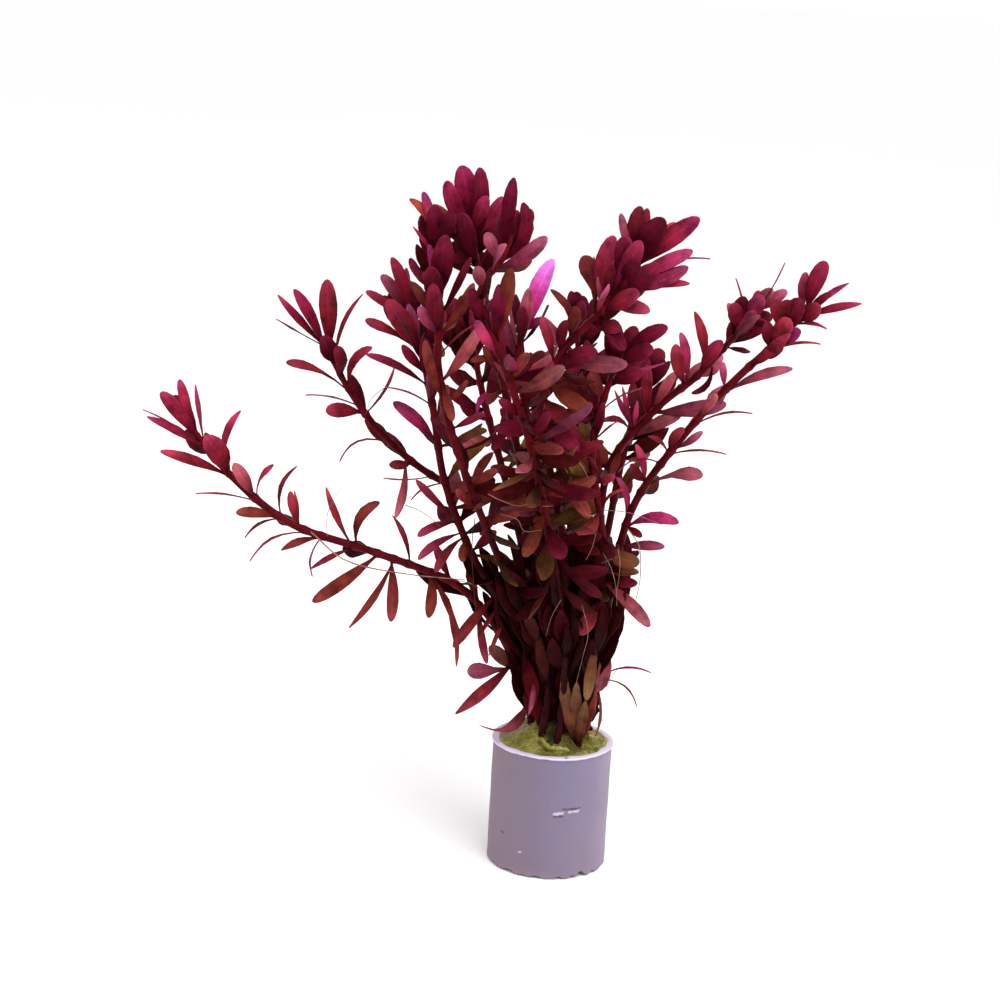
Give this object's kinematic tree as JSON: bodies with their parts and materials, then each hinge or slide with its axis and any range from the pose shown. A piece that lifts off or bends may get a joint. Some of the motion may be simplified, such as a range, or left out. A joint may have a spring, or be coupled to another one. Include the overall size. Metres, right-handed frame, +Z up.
{
  "type": "potted aquarium plant",
  "caption": "Red stem plant for an aquarium: leafy shoots rising and arching from a fibre-filled ceramic planting ring that stands on its flat foot.",
  "frame": {"origin": "centre of the planting ring's underside, on the surface it stands on", "axes": "+Z up along the ring's axis, -Y towards the front of the plant as pictured, +X to the viewer's right"},
  "size_m": [0.1963, 0.1267, 0.2052],
  "materials": {
    "ceramic": "matte unglazed, pale lilac grey",
    "wool": "coarse yellow-green fibre",
    "plant_far_left": "living stem and leaf, satin, deep crimson",
    "plant_left": "living stem and leaf, satin, deep crimson",
    "plant_left_inner": "living stem and leaf, satin, deep crimson",
    "plant_top_left": "living stem and leaf, satin, deep crimson",
    "plant_top": "living stem and leaf, satin, deep crimson",
    "plant_top_bent": "living stem and leaf, satin, deep crimson",
    "plant_centre": "living stem and leaf, satin, deep crimson",
    "plant_centre_right": "living stem and leaf, satin, deep crimson",
    "plant_right_inner": "living stem and leaf, satin, deep crimson",
    "plant_right": "living stem and leaf, satin, deep crimson",
    "plant_far_right": "living stem and leaf, satin, deep crimson",
    "plant_back_left": "living stem and leaf, satin, deep crimson",
    "plant_back_centre": "living stem and leaf, satin, deep crimson",
    "plant_back_right": "living stem and leaf, satin, deep crimson"
  },
  "bodies": {
    "root": {"ceramic_ring": "ceramic", "growing_wool": "wool", "shoot_far_left": "plant_far_left", "shoot_left": "plant_left", "shoot_left_inner": "plant_left_inner", "shoot_top_left": "plant_top_left", "shoot_top": "plant_top", "shoot_top_bent": "plant_top_bent", "shoot_centre": "plant_centre", "shoot_centre_right": "plant_centre_right", "shoot_right_inner": "plant_right_inner", "shoot_right": "plant_right", "shoot_far_right": "plant_far_right", "shoot_back_left": "plant_back_left", "shoot_back_centre": "plant_back_centre", "shoot_back_right": "plant_back_right"}
  },
  "joints": []
}
